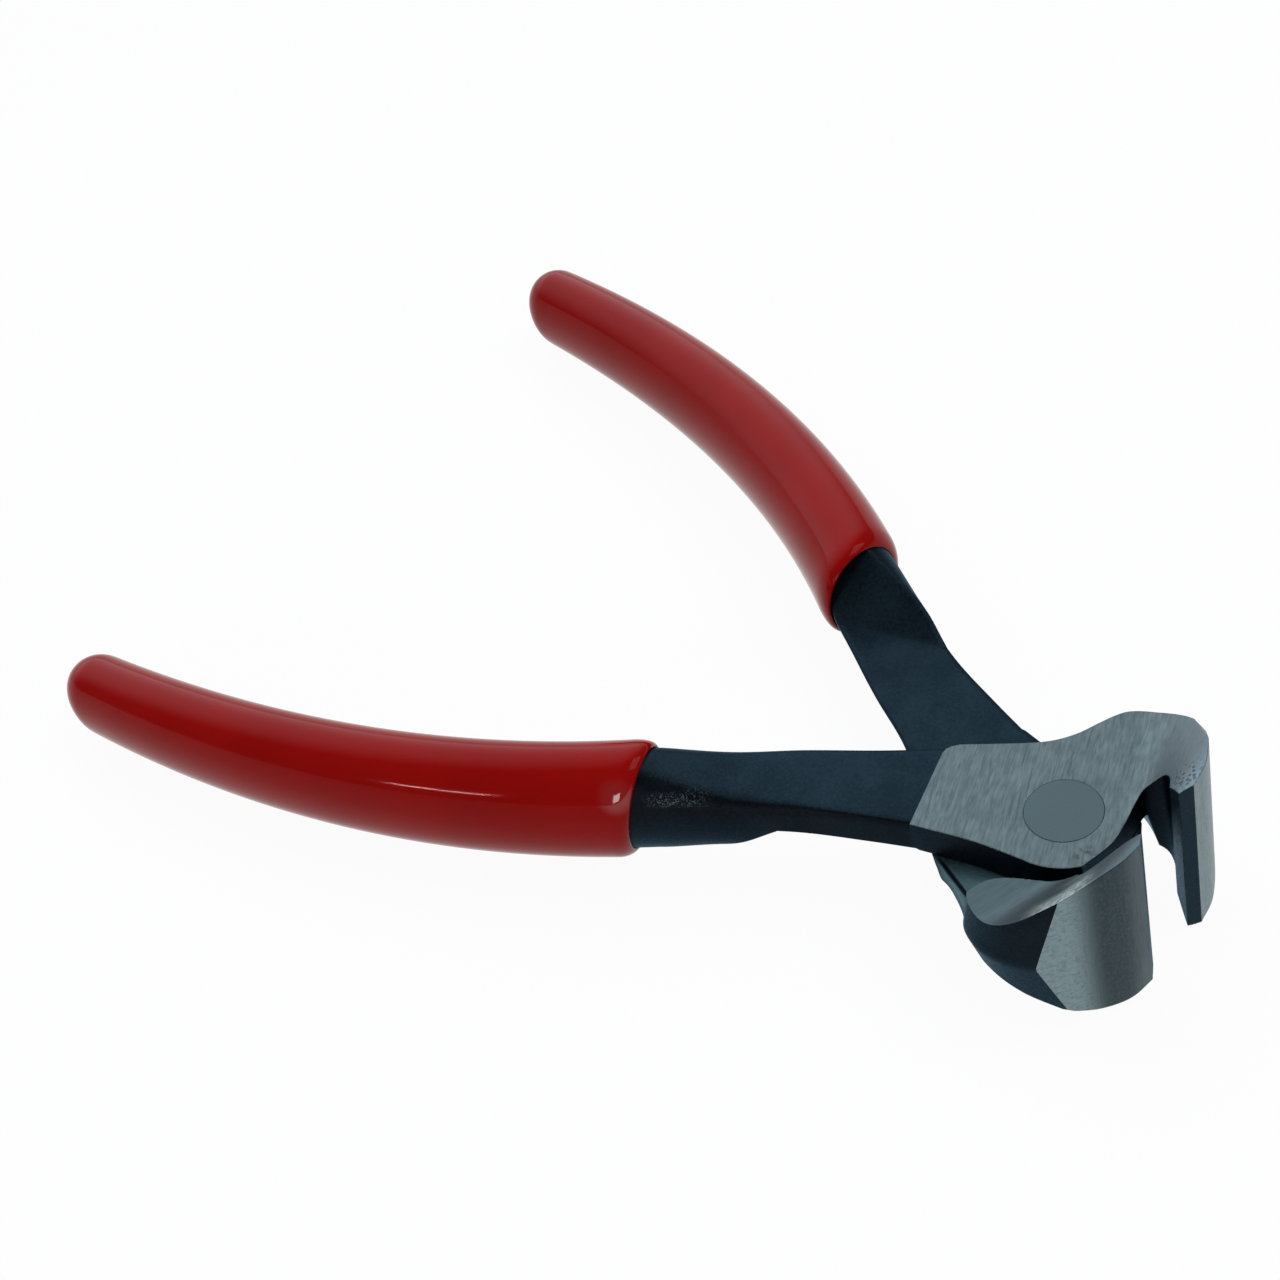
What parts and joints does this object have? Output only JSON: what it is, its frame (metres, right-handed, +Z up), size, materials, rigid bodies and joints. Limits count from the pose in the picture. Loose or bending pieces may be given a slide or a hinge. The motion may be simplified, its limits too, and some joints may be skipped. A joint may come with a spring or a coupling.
{
  "type": "nail puller pliers",
  "caption": "Nail puller pliers with wide flared end-cutting jaws, lapped levers on a flush rivet and curved dipped grips; the levers turn to close the jaws on a nail.",
  "frame": {"origin": "on the pivot axis, on the underside of the joint", "axes": "+X from the handles to the jaws along the tool's centre line, +Z up the pivot axis, +Y to the left seen from the handles"},
  "size_m": [0.1623, 0.118, 0.0286],
  "materials": {
    "forged_steel": "blue-black oxide on the forged sides, bright grinding on the joint faces and jaw ends",
    "ground_steel": "ground flush",
    "dipped_vinyl": "smooth, glossy, dark red"
  },
  "bodies": {
    "upper_body": {"upper_lever": "forged_steel", "pivot_rivet": "ground_steel", "upper_grip": "dipped_vinyl"},
    "lower_body": {"lower_lever": "forged_steel", "lower_grip": "dipped_vinyl"}
  },
  "joints": [
    {"name": "jaw_pivot", "type": "hinge", "parent": "upper_body", "child": "lower_body", "pos_m": [0, 0, 0.0047], "axis": [0, 0, 1], "range_deg": [-20, 31]}
  ]
}
